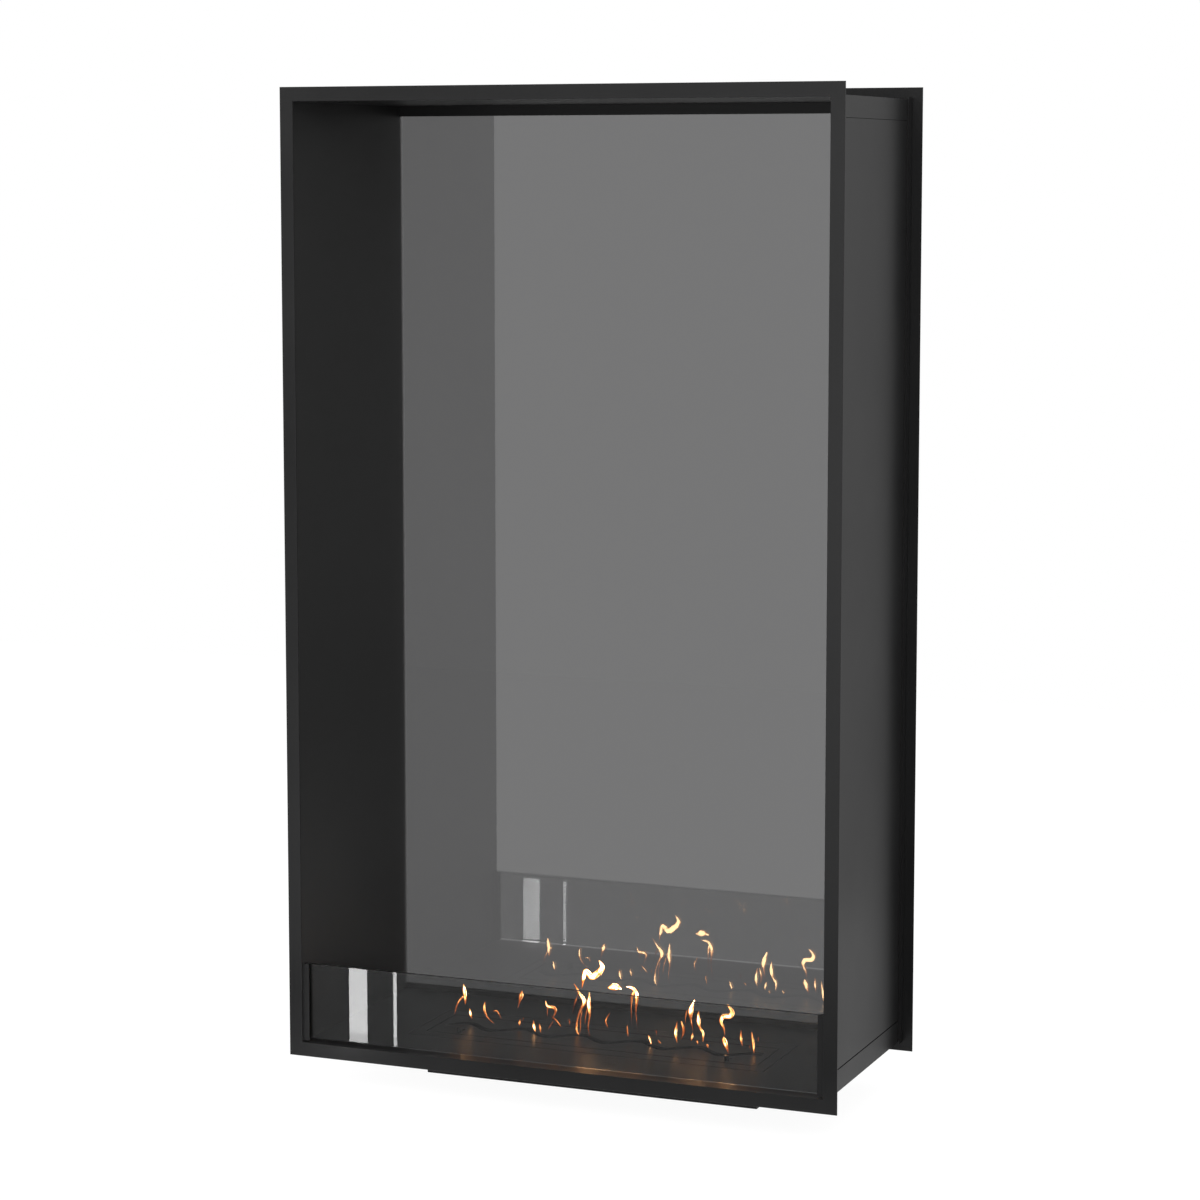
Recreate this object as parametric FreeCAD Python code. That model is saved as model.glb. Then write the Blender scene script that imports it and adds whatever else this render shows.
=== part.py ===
"""A tall double-sided fireplace insert for liquid fuel, as separate sheet-metal, glass and burner pieces.

Millimetres. +X is to the right, the front faces -Y and +Z is up. The origin is under the middle of the
burner's tank, which is the lowest point.
"""
import FreeCAD
import Part

import math
import os

from FreeCAD import Vector

# Driving dimensions of the casing
FRAME_WIDTH = 700.0        # outside width of both flange frames
FRAME_HEIGHT = 1170.0      # outside height of both flange frames
FRAME_DEPTH = 300.0        # front face to rear face
FRAME_SHEET = 2.0          # sheet of the flange frames
FRAME_OVERHANG = 14.0      # flange standing out past the casing
FRAME_LEG = 15.0           # leg of the flange frame that wraps the casing
FRAME_EDGE = 0.5           # rounding of the flange's visible edges
SKIN_SHEET = 1.5           # outer sheet: skins, top cover and floor tray
LINER_SHEET = 1.5          # inner sheet: liners and hearth floor
COVER_LIP = 25.0           # folded side of the top cover
COVER_SEAM = 0.5           # seam between that lip and the skin
TRAY_LIP = 26.0            # folded side of the floor tray
TRAY_SEAM = 1.5            # shadow gap between that lip and the skin
CUT_OVERRUN = 5.0          # how far cutting solids reach past the faces they cut

# Driving dimensions of the glazing
CHANNEL_SHEET = 1.5        # sheet of all glass channels
GLASS_PLAY = 0.5           # play between a pane and each channel wall
REAR_GLASS = 5.0           # thickness of the rear pane
REAR_SIDE_GAP = 1.5        # gap between the rear pane's edges and the liners
REAR_TOP_CHANNEL = 13.0    # height of the rear pane's top channel
REAR_BOTTOM_CHANNEL = 7.0  # height of its bottom channel
REAR_TOP_BITE = 3.0        # how far the pane stands in the top channel
REAR_PAD = 2.0             # thickness of its setting pads
REAR_PAD_LENGTH = 40.0
REAR_PAD_SHARE = 0.78      # outer pads, along half the opening's width
REAR_SCREW_SHARES = (0.27, 0.66)    # screws each side of the middle, along half the opening's width
FRONT_GLASS = 5.0          # thickness of the low front pane
FRONT_GLASS_TOP = 97.0     # its top edge above the hearth
FRONT_FACE_GAP = 1.5       # gap between the front flange and the side channels
SIDE_CHANNEL_FACE = 8.0    # visible width of a side channel
SIDE_CHANNEL_LIFT = 2.0    # gap under a side channel
SIDE_CHANNEL_ROOM = 2.0    # room for screw heads between a channel's web and the pane's edge
FRONT_PAD = 1.0            # thickness of the pads under the low pane
FRONT_SCREW_SHARES = (0.26, 0.74)   # screws along the height of a side channel
SCREW_HEAD_RADIUS = 2.4
SCREW_HEAD = 1.4
SCREW_RADIUS = 1.5
SCREW_PLAY = 0.05          # radial play of a screw in its holes

# Driving dimensions of the burner
TANK_DROP = 36.0           # tank below the flange frames
TANK_LENGTH = 431.0
TANK_SHEET = 1.5
TANK_FLANGE = 8.0          # flange of the tank under the rim
TRAY_CUT_GAP = 1.0         # gap between that flange and the floor tray
RIM_SIDE = 16.0            # rim to the left and right of the top plate
RIM_FRONT = 22.0           # rim before and behind it
RIM_GAP = 0.7              # gap between the rim and the hearth floor
PLATE_GAP = 0.5            # gap between the top plate and the rim
SLOT_END = 9.5             # plate past each end of the flame slot
SLOT_WIDTH = 13.0          # flame slot, measured along the depth
WAVE_LENGTH = 76.0
WAVE_POINTS = 8            # points along each wave of the slot's edges
WAVE_HEIGHT = 11.0         # swing of the slot's middle line each way
WAVE_SHIFT = 8.0           # one forward swing lies this far right of the middle
DAMPER_SHEET = 1.5
DAMPER_GAP = 0.3           # sliding gap above, below and beside the damper
DAMPER_END = 5.0           # damper past each end of the slot
DAMPER_LAP = 0.3           # how far the shut damper laps past the slot
DAMPER_NOSE = 3.3          # damper before its knobs
DAMPER_FRONT_GAP = 3.0     # open damper to the tank's front wall
DAMPER_REAR_GAP = 1.7      # shut damper to the tank's rear wall
GUIDE_SHEET = 1.5
GUIDE_BITE = 6.0           # how far a guide rail reaches under the damper
GUIDE_END_GAP = 2.5        # guide rail to the tank's front and rear walls
KNOB_INSET = 40.5          # knobs from the ends of the top plate
KNOB_WEB = 1.0             # plate left between a knob's guide slot and the flame slot's furthest swing
KNOB_RADIUS = 3.3
KNOB_HEIGHT = 7.0          # above the top plate
KNOB_EDGE = 0.6            # rounding of a knob's top
NECK_RADIUS = 2.1          # neck of a knob in its guide slot
SPIGOT_RADIUS = 1.5        # spigot of a knob in the damper
FIBRE_HEIGHT = 32.0
FIBRE_GAP = 0.5            # between the fibre and the tank's walls
GRID_SHEET = 1.0
GRID_HOLE_RADIUS = 2.5
GRID_PITCH = 11.0          # hole to hole along the grid
GRID_ROWS = 5
GRID_MARGIN = 8.0          # solid edge of the grid

# Planes and sizes that follow from them
casing_width = FRAME_WIDTH - 2 * FRAME_OVERHANG
casing_bottom = TANK_DROP + FRAME_OVERHANG
casing_top = TANK_DROP + FRAME_HEIGHT - FRAME_OVERHANG
casing_depth = FRAME_DEPTH - 2 * FRAME_SHEET
inner_width = casing_width - 2 * (SKIN_SHEET + LINER_SHEET)
tray_top = casing_bottom + SKIN_SHEET
hearth_top = tray_top + LINER_SHEET
cover_under = casing_top - SKIN_SHEET
ceiling = cover_under - LINER_SHEET
front_face = -FRAME_DEPTH / 2
rear_face = FRAME_DEPTH / 2
casing_front = -casing_depth / 2
plate_top = hearth_top
plate_under = tray_top
slot_length = TANK_LENGTH - 2 * SLOT_END
damper_travel = SLOT_WIDTH + DAMPER_LAP
knob_place = TANK_LENGTH / 2 - KNOB_INSET
knob_slot_half = NECK_RADIUS + DAMPER_GAP
knob_front = WAVE_HEIGHT + SLOT_WIDTH / 2 + KNOB_WEB + knob_slot_half + damper_travel
damper_front = knob_front + DAMPER_NOSE
tank_inner_depth = 2 * (damper_front + DAMPER_FRONT_GAP)
tank_inner_length = TANK_LENGTH - 2 * TANK_SHEET
tank_depth = tank_inner_depth + 2 * TANK_SHEET
damper_rear = tank_inner_depth / 2 - damper_travel - DAMPER_REAR_GAP
damper_half_length = slot_length / 2 + DAMPER_END
damper_top = plate_under - DAMPER_GAP
damper_under = damper_top - DAMPER_SHEET
rim_length = TANK_LENGTH + 2 * RIM_SIDE
rim_depth = tank_depth + 2 * RIM_FRONT


def block(x_low, x_high, y_low, y_high, z_low, z_high):
    """A rectangular solid between six planes."""
    return Part.makeBox(x_high - x_low, y_high - y_low, z_high - z_low, Vector(x_low, y_low, z_low))


def centred(length, depth, z_low, z_high):
    """A rectangular solid centred on the origin in plan."""
    return block(-length / 2, length / 2, -depth / 2, depth / 2, z_low, z_high)


def post(x, y, radius, z_low, z_high):
    """An upright round solid."""
    return Part.makeCylinder(radius, z_high - z_low, Vector(x, y, z_low))


def mirrored(shape):
    """The same solid on the other side of the X = 0 plane."""
    return shape.mirror(Vector(0, 0, 0), Vector(1, 0, 0))


def group(shapes):
    """Several separate solids in one node."""
    return Part.makeCompound(list(shapes))


def save(name, shape):
    """Write one node."""
    shape.exportStep("parts/" + name + ".step")


def flange_frame():
    """The front flange frame: a flat ring with a leg that wraps the casing."""
    face_back = front_face + FRAME_SHEET
    ring = block(-FRAME_WIDTH / 2, FRAME_WIDTH / 2, front_face, face_back, TANK_DROP, TANK_DROP + FRAME_HEIGHT)
    opening = block(-inner_width / 2, inner_width / 2, front_face - CUT_OVERRUN, face_back + CUT_OVERRUN,
                    hearth_top, ceiling)
    ring = ring.cut(opening)
    front_edges = [edge for edge in ring.Edges if edge.BoundBox.YMax < front_face + FRAME_SHEET / 2]
    ring = ring.makeFillet(FRAME_EDGE, front_edges)
    half_leg = casing_width / 2 + FRAME_SHEET
    leg = block(-half_leg, half_leg, face_back, face_back + FRAME_LEG,
                casing_bottom - FRAME_SHEET, casing_top + FRAME_SHEET)
    casing_space = block(-casing_width / 2, casing_width / 2, face_back - CUT_OVERRUN,
                         face_back + FRAME_LEG + CUT_OVERRUN, casing_bottom, casing_top)
    return ring.fuse(leg.cut(casing_space)).removeSplitter()


def top_cover():
    """The roof sheet with its two folded sides."""
    half = casing_width / 2
    outside = block(-half, half, casing_front, -casing_front, casing_top - COVER_LIP, casing_top)
    half -= SKIN_SHEET
    inside = block(-half, half, casing_front - CUT_OVERRUN, -casing_front + CUT_OVERRUN,
                   casing_top - COVER_LIP - CUT_OVERRUN, cover_under)
    return outside.cut(inside)


def floor_tray():
    """The floor sheet with its two folded sides and the hole for the burner."""
    half = casing_width / 2
    outside = block(-half, half, casing_front, -casing_front, casing_bottom, casing_bottom + TRAY_LIP)
    half -= SKIN_SHEET
    inside = block(-half, half, casing_front - CUT_OVERRUN, -casing_front + CUT_OVERRUN,
                   tray_top, casing_bottom + TRAY_LIP + CUT_OVERRUN)
    reach = 2 * (TANK_FLANGE + TRAY_CUT_GAP)
    hole = centred(TANK_LENGTH + reach, tank_depth + reach, casing_bottom - CUT_OVERRUN, tray_top + CUT_OVERRUN)
    return outside.cut(inside).cut(hole)


def left_skin():
    """The outer side sheet between the tray's lip and the cover's lip."""
    outside = -casing_width / 2
    return block(outside, outside + SKIN_SHEET, casing_front, -casing_front,
                 casing_bottom + TRAY_LIP + TRAY_SEAM, casing_top - COVER_LIP - COVER_SEAM)


def screw_levels():
    """Heights of the screws in a side channel."""
    foot = hearth_top + SIDE_CHANNEL_LIFT
    return [foot + share * (FRONT_GLASS_TOP - SIDE_CHANNEL_LIFT) for share in FRONT_SCREW_SHARES]


def side_channel_planes():
    """Front and rear plane of the side channels that hold the low pane."""
    front = casing_front + FRONT_FACE_GAP
    return front, front + FRONT_GLASS + 2 * (GLASS_PLAY + CHANNEL_SHEET)


def channel_screw_hole(level):
    """A round cut through the left liner and the web of the left side channel."""
    front, rear = side_channel_planes()
    start = Vector(-inner_width / 2 - LINER_SHEET - CUT_OVERRUN, (front + rear) / 2, level)
    length = LINER_SHEET + CHANNEL_SHEET + 2 * CUT_OVERRUN
    return Part.makeCylinder(SCREW_RADIUS + SCREW_PLAY, length, start, Vector(1, 0, 0))


def left_liner():
    """The inner side sheet, with the screw holes of the low pane's channel."""
    inside = -inner_width / 2
    sheet = block(inside - LINER_SHEET, inside, casing_front, -casing_front, tray_top, cover_under)
    for level in screw_levels():
        sheet = sheet.cut(channel_screw_hole(level))
    return sheet


def rear_channel_planes():
    """Front and rear plane of the channels that hold the rear pane."""
    return rear_face - REAR_GLASS - 2 * (GLASS_PLAY + CHANNEL_SHEET), rear_face


def rear_screw_axes():
    """Plan positions of the screws in both rear channels."""
    front, rear = rear_channel_planes()
    places = [side * share * inner_width / 2 for side in (-1, 1) for share in REAR_SCREW_SHARES]
    return [(place, (front + rear) / 2) for place in places]


def drilled(shape, z_low, z_high):
    """The shape with the rear channels' screw holes between two levels."""
    for x, y in rear_screw_axes():
        shape = shape.cut(post(x, y, SCREW_RADIUS + SCREW_PLAY, z_low, z_high))
    return shape


def ceiling_liner():
    """The inner roof sheet, drilled for the rear top channel."""
    sheet = centred(inner_width, casing_depth, ceiling, cover_under)
    return drilled(sheet, ceiling - CUT_OVERRUN, cover_under)


def hearth_floor():
    """The inner floor sheet, with the hole that the burner's rim fills and the rear screw holes."""
    sheet = centred(inner_width, casing_depth, tray_top, hearth_top)
    hole = centred(rim_length + 2 * RIM_GAP, rim_depth + 2 * RIM_GAP, tray_top - CUT_OVERRUN,
                   hearth_top + CUT_OVERRUN)
    return drilled(sheet.cut(hole), tray_top, hearth_top + CUT_OVERRUN)


def rear_channel(z_web, z_lip):
    """A channel across the rear opening, from its web's outer face to the tips of its two lips."""
    front, rear = rear_channel_planes()
    low, high = min(z_web, z_lip), max(z_web, z_lip)
    outside = block(-inner_width / 2, inner_width / 2, front, rear, low, high)
    web_low = low + CHANNEL_SHEET if z_web < z_lip else low - CUT_OVERRUN
    web_high = high + CUT_OVERRUN if z_web < z_lip else high - CHANNEL_SHEET
    groove = block(-inner_width / 2 - CUT_OVERRUN, inner_width / 2 + CUT_OVERRUN, front + CHANNEL_SHEET,
                   rear - CHANNEL_SHEET, web_low, web_high)
    return drilled(outside.cut(groove), low - CUT_OVERRUN, high + CUT_OVERRUN)


def rear_glass_foot():
    """Height of the rear pane's lower edge."""
    return hearth_top + CHANNEL_SHEET + REAR_PAD


def rear_glass():
    """The full-height pane across the rear opening."""
    front, rear = rear_channel_planes()
    inset = CHANNEL_SHEET + GLASS_PLAY
    half = inner_width / 2 - REAR_SIDE_GAP
    return block(-half, half, front + inset, rear - inset, rear_glass_foot(),
                 ceiling - REAR_TOP_CHANNEL + REAR_TOP_BITE)


def rear_glass_pads():
    """The setting pads that the rear pane stands on, in the bottom channel."""
    front, rear = rear_channel_planes()
    inset = CHANNEL_SHEET + GLASS_PLAY
    foot = hearth_top + CHANNEL_SHEET
    half = REAR_PAD_LENGTH / 2
    outer = REAR_PAD_SHARE * inner_width / 2
    return group(block(place - half, place + half, front + inset, rear - inset, foot, foot + REAR_PAD)
                 for place in (-outer, 0, outer))


def upright_screw(x, y, seat, shank_end):
    """A pan-head screw whose head stands on the seat, with its shank towards the other level."""
    up = 1 if seat > shank_end else -1
    head = Part.makeCylinder(SCREW_HEAD_RADIUS, SCREW_HEAD, Vector(x, y, seat), Vector(0, 0, up))
    shank = post(x, y, SCREW_RADIUS, min(seat, shank_end), max(seat, shank_end))
    return head.fuse(shank).removeSplitter()


def rear_channel_screws():
    """The screws that hold the rear channels to the ceiling and to the hearth floor."""
    axes = rear_screw_axes()
    upper = [upright_screw(x, y, ceiling - CHANNEL_SHEET, cover_under) for x, y in axes]
    lower = [upright_screw(x, y, hearth_top + CHANNEL_SHEET, tray_top) for x, y in axes]
    return group(upper + lower)


def left_side_channel():
    """The upright channel at the left end of the low pane, closed at its foot."""
    front, rear = side_channel_planes()
    web = -inner_width / 2
    foot = hearth_top + SIDE_CHANNEL_LIFT
    top = hearth_top + FRONT_GLASS_TOP
    outside = block(web, web + SIDE_CHANNEL_FACE, front, rear, foot, top)
    groove = block(web + CHANNEL_SHEET, web + SIDE_CHANNEL_FACE + CUT_OVERRUN, front + CHANNEL_SHEET,
                   rear - CHANNEL_SHEET, foot + CHANNEL_SHEET, top + CUT_OVERRUN)
    channel = outside.cut(groove)
    for level in screw_levels():
        channel = channel.cut(channel_screw_hole(level))
    return channel


def front_glass_foot():
    """Height of the low pane's lower edge."""
    return hearth_top + SIDE_CHANNEL_LIFT + CHANNEL_SHEET + FRONT_PAD


def front_glass():
    """The low pane between the two side channels."""
    front, rear = side_channel_planes()
    inset = CHANNEL_SHEET + GLASS_PLAY
    half = inner_width / 2 - CHANNEL_SHEET - SIDE_CHANNEL_ROOM
    return block(-half, half, front + inset, rear - inset, front_glass_foot(), hearth_top + FRONT_GLASS_TOP)


def left_front_pad():
    """The pad under the left corner of the low pane, on the channel's closed foot."""
    front, rear = side_channel_planes()
    inset = CHANNEL_SHEET + GLASS_PLAY
    web = -inner_width / 2
    return block(web + CHANNEL_SHEET, web + SIDE_CHANNEL_FACE, front + inset, rear - inset,
                 front_glass_foot() - FRONT_PAD, front_glass_foot())


def left_channel_screws():
    """The two screws through the left side channel's web into the liner."""
    front, rear = side_channel_planes()
    seat = -inner_width / 2 + CHANNEL_SHEET
    screws = []
    for level in screw_levels():
        centre = Vector(seat, (front + rear) / 2, level)
        head = Part.makeCylinder(SCREW_HEAD_RADIUS, SCREW_HEAD, centre, Vector(1, 0, 0))
        shank = Part.makeCylinder(SCREW_RADIUS, CHANNEL_SHEET + LINER_SHEET, centre, Vector(-1, 0, 0))
        screws.append(head.fuse(shank).removeSplitter())
    return screws


def burner_tank():
    """The open fuel tank, with a flange at its mouth that the rim plate covers."""
    body = centred(TANK_LENGTH, tank_depth, 0, plate_under)
    reach = 2 * TANK_FLANGE
    flange = centred(TANK_LENGTH + reach, tank_depth + reach, plate_under - TANK_SHEET, plate_under)
    inside = centred(tank_inner_length, tank_inner_depth, TANK_SHEET, plate_under + CUT_OVERRUN)
    return body.fuse(flange).removeSplitter().cut(inside)


def burner_rim():
    """The flat rim that lies flush in the hearth and carries the burner."""
    plate = centred(rim_length, rim_depth, plate_under, plate_top)
    return plate.cut(centred(TANK_LENGTH + 2 * PLATE_GAP, tank_depth + 2 * PLATE_GAP,
                             plate_under - CUT_OVERRUN, plate_top + CUT_OVERRUN))


def wave(x):
    """Depth of the flame slot's middle line: a cosine with a forward swing at the named shift."""
    return -WAVE_HEIGHT * math.cos(2 * math.pi * (x - WAVE_SHIFT) / WAVE_LENGTH)


def wave_points(side):
    """Points along one edge of the flame slot."""
    steps = round(WAVE_POINTS * slot_length / WAVE_LENGTH)
    places = [slot_length * (step / steps - 1 / 2) for step in range(steps + 1)]
    return [Vector(x, wave(x) + side * SLOT_WIDTH / 2, 0) for x in places]


def wave_cut(z_low, z_high):
    """The solid that cuts the flame slot: two smooth wavy edges joined by straight ends."""
    edges = []
    for side in (-1, 1):
        curve = Part.BSplineCurve()
        curve.interpolate(wave_points(side))
        edges.append(curve.toShape())
    near, far = wave_points(-1), wave_points(1)
    ends = [Part.makeLine(near[0], far[0]), Part.makeLine(near[-1], far[-1])]
    outline = Part.Wire(Part.__sortEdges__(edges + ends))
    cut = Part.Face(outline).extrude(Vector(0, 0, z_high - z_low))
    cut.translate(Vector(0, 0, z_low))
    return cut


def burner_top_plate():
    """The top plate, with the wavy flame slot and a short guide slot for each knob."""
    plate = centred(TANK_LENGTH, tank_depth, plate_under, plate_top)
    low, high = plate_under - CUT_OVERRUN, plate_top + CUT_OVERRUN
    plate = plate.cut(wave_cut(low, high))
    start, end = -knob_front, damper_travel - knob_front
    for x in (-knob_place, knob_place):
        middle = block(x - knob_slot_half, x + knob_slot_half, start, end, low, high)
        ends = [post(x, y, knob_slot_half, low, high) for y in (start, end)]
        plate = plate.cut(middle.fuse(ends))
    return plate


def damper_slider():
    """The sliding plate under the top plate, with the same wavy slot, drilled for its knobs."""
    plate = block(-damper_half_length, damper_half_length, -damper_front, damper_rear, damper_under, damper_top)
    low, high = damper_under - CUT_OVERRUN, damper_top + CUT_OVERRUN
    plate = plate.cut(wave_cut(low, high))
    for x in (-knob_place, knob_place):
        plate = plate.cut(post(x, -knob_front, SPIGOT_RADIUS + SCREW_PLAY, low, high))
    return plate


def damper_knob(x):
    """A turned knob: a head above the plate, a neck in the guide slot and a spigot in the damper."""
    head_foot = plate_top + DAMPER_GAP
    head = post(x, -knob_front, KNOB_RADIUS, head_foot, plate_top + KNOB_HEIGHT)
    rim = [edge for edge in head.Edges if edge.BoundBox.ZMin > head_foot + KNOB_HEIGHT / 2]
    head = head.makeFillet(KNOB_EDGE, rim)
    neck = post(x, -knob_front, NECK_RADIUS, damper_top, head_foot)
    spigot = post(x, -knob_front, SPIGOT_RADIUS, damper_under, damper_top)
    return head.fuse([neck, spigot]).removeSplitter()


def right_guide():
    """The right guide rail: an angle under the top plate that carries the damper's end."""
    inner = damper_half_length + DAMPER_GAP
    foot = damper_under - DAMPER_GAP - GUIDE_SHEET
    rear = tank_inner_depth / 2 - GUIDE_END_GAP
    upright = block(inner, inner + GUIDE_SHEET, -rear, rear, foot, plate_under)
    shelf = block(inner - GUIDE_BITE, inner, -rear, rear, foot, foot + GUIDE_SHEET)
    return upright.fuse(shelf).removeSplitter()


def fibre_sizes():
    """Length and depth of the fibre pad and of the grid on it."""
    return tank_inner_length - 2 * FIBRE_GAP, tank_inner_depth - 2 * FIBRE_GAP


def fibre_pad():
    """The ceramic fibre that fills the lower part of the tank."""
    length, depth = fibre_sizes()
    return centred(length, depth, TANK_SHEET, TANK_SHEET + FIBRE_HEIGHT)


def fibre_grid():
    """The perforated sheet that lies on the fibre."""
    length, depth = fibre_sizes()
    foot = TANK_SHEET + FIBRE_HEIGHT
    sheet = centred(length, depth, foot, foot + GRID_SHEET)
    columns = int((length - 2 * GRID_MARGIN) / GRID_PITCH)
    row_pitch = (depth - 2 * GRID_MARGIN) / (GRID_ROWS - 1)
    holes = []
    for column in range(columns + 1):
        for row in range(GRID_ROWS):
            x = (column - columns / 2) * GRID_PITCH
            y = (row - (GRID_ROWS - 1) / 2) * row_pitch
            holes.append(post(x, y, GRID_HOLE_RADIUS, foot - CUT_OVERRUN, foot + GRID_SHEET + CUT_OVERRUN))
    return sheet.cut(Part.makeCompound(holes))


os.makedirs("parts", exist_ok=True)

# Casing
front_frame = flange_frame()
save("front_frame", front_frame)
save("rear_frame", front_frame.mirror(Vector(0, 0, 0), Vector(0, 1, 0)))
save("top_cover", top_cover())
save("floor_tray", floor_tray())
save("left_skin", left_skin())
save("right_skin", mirrored(left_skin()))
save("left_liner", left_liner())
save("right_liner", mirrored(left_liner()))
save("ceiling_liner", ceiling_liner())
save("hearth_floor", hearth_floor())

# Rear glazing
save("rear_glass", rear_glass())
save("rear_glass_top_channel", rear_channel(ceiling, ceiling - REAR_TOP_CHANNEL))
save("rear_glass_bottom_channel", rear_channel(hearth_top, hearth_top + REAR_BOTTOM_CHANNEL))
save("rear_glass_pads", rear_glass_pads())
save("rear_channel_screws", rear_channel_screws())

# Front glazing
save("front_glass", front_glass())
save("front_glass_left_channel", left_side_channel())
save("front_glass_right_channel", mirrored(left_side_channel()))
save("front_glass_pads", group([left_front_pad(), mirrored(left_front_pad())]))
save("front_channel_screws", group(left_channel_screws() + [mirrored(screw) for screw in left_channel_screws()]))

# Burner
save("burner_tank", burner_tank())
save("burner_rim", burner_rim())
save("burner_top_plate", burner_top_plate())
save("damper_slider", damper_slider())
save("damper_knobs", group(damper_knob(x) for x in (-knob_place, knob_place)))
save("damper_guides", group([mirrored(right_guide()), right_guide()]))
save("fibre_pad", fibre_pad())
save("fibre_grid", fibre_grid())
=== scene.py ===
"""A tall double-sided fireplace insert for liquid fuel, dressed for a studio picture. Metres, +Z up."""

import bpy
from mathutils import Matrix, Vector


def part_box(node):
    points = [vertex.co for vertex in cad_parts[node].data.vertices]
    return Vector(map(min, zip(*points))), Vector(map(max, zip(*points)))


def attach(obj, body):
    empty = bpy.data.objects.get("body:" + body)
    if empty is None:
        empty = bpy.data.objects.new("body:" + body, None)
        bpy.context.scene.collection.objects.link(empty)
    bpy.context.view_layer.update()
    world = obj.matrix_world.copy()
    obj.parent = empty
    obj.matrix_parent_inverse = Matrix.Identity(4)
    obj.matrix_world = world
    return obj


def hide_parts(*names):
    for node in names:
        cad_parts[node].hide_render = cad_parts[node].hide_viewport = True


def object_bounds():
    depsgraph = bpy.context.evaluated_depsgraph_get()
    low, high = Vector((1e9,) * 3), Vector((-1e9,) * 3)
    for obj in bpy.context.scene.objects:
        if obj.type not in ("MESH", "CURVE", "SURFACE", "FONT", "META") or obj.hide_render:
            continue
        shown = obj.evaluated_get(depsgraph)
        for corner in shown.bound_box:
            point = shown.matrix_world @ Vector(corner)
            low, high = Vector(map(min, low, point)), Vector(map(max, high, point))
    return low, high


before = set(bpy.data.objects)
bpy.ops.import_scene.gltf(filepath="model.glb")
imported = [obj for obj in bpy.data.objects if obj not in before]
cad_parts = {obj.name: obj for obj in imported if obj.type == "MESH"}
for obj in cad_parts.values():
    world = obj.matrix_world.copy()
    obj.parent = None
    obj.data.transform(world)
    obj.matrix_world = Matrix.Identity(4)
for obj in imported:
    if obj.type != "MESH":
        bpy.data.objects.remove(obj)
cad_box = [list(corner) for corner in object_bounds()]

import math

import bpy
import numpy as np

scene = bpy.context.scene
scene.view_settings.view_transform = "Standard"

# Camera
# A long lens to the right of the front, a little under the roof's height and tipped down.
# The small shift keeps the uprights nearly parallel.
camera_data = bpy.data.cameras.new("camera")
camera_data.sensor_width = 36.0
camera_data.lens = 98.5
camera_data.shift_y = -0.04
camera_azimuth, camera_tip = math.radians(22.09), math.radians(6.575)
camera = bpy.data.objects.new("camera", camera_data)
camera.location = (1.472, -3.633, 1.1045)
camera.rotation_euler = (math.pi / 2 - camera_tip, 0.0, camera_azimuth)
scene.collection.objects.link(camera)
scene.camera = camera

# Studio surround
# A white room: what the lens, the gloss and the glass see is plain white, and what lights
# the matt surfaces is a softer level.
surround_white, surround_fill = 1.0, 0.8
world = bpy.data.worlds.new("studio_surround")
world.use_nodes = True
scene.world = world
nodes, links = world.node_tree.nodes, world.node_tree.links
background = nodes["Background"]
background.inputs["Color"].default_value = (1.0, 1.0, 1.0, 1.0)


def seen_directly(nodes, links):
    """The largest of three flags: 1 for rays from the lens, from gloss or through glass, 0 for the rest."""
    path = nodes.new("ShaderNodeLightPath")
    flag = path.outputs["Is Camera Ray"]
    for name in ("Is Glossy Ray", "Is Transmission Ray"):
        larger = nodes.new("ShaderNodeMath")
        larger.operation = "MAXIMUM"
        links.new(flag, larger.inputs[0])
        links.new(path.outputs[name], larger.inputs[1])
        flag = larger.outputs["Value"]
    return flag


level = nodes.new("ShaderNodeMapRange")
links.new(seen_directly(nodes, links), level.inputs["Value"])
level.inputs["To Min"].default_value = surround_fill
level.inputs["To Max"].default_value = surround_white
links.new(level.outputs["Result"], background.inputs["Strength"])

# Studio floor
# A pale matt floor just under the tank. The lens, the gloss and the glass see it as white with a faint
# shadow, and through the glass it is as bright as the surround.
floor_half, floor_drop = 3.0, 0.002
floor_grey, floor_rough = (0.82, 0.82, 0.82, 1.0), 0.9
floor_shadow_share, floor_white, floor_white_through = 0.14, 1.1, 1.016


def sheet_mesh(name, corners):
    """One flat four-cornered face through the given corners."""
    mesh = bpy.data.meshes.new(name)
    mesh.from_pydata(corners, [], [(0, 1, 2, 3)])
    mesh.update()
    return mesh


floor_low = cad_box[0][2] - floor_drop
floor_corners = [(side * floor_half, depth * floor_half, floor_low)
                 for side, depth in ((-1, -1), (1, -1), (1, 1), (-1, 1))]
floor = bpy.data.objects.new("studio_floor", sheet_mesh("studio_floor", floor_corners))
scene.collection.objects.link(floor)
floor_paint = bpy.data.materials.new("studio_floor")
floor_paint.use_nodes = True
nodes, links = floor_paint.node_tree.nodes, floor_paint.node_tree.links
matt = nodes["Principled BSDF"]
matt.inputs["Base Color"].default_value = floor_grey
matt.inputs["Roughness"].default_value = floor_rough
glow = nodes.new("ShaderNodeEmission")
floor_path = nodes.new("ShaderNodeLightPath")
glow_level = nodes.new("ShaderNodeMapRange")
glow_level.inputs["To Min"].default_value = floor_white
glow_level.inputs["To Max"].default_value = floor_white_through
links.new(floor_path.outputs["Is Transmission Ray"], glow_level.inputs["Value"])
links.new(glow_level.outputs["Result"], glow.inputs["Strength"])
white_share = nodes.new("ShaderNodeMath")
white_share.operation = "MULTIPLY"
links.new(seen_directly(nodes, links), white_share.inputs[0])
white_share.inputs[1].default_value = 1.0 - floor_shadow_share
floor_mix = nodes.new("ShaderNodeMixShader")
links.new(white_share.outputs["Value"], floor_mix.inputs["Fac"])
links.new(matt.outputs["BSDF"], floor_mix.inputs[1])
links.new(glow.outputs["Emission"], floor_mix.inputs[2])
links.new(floor_mix.outputs["Shader"], nodes["Material Output"].inputs["Surface"])
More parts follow.
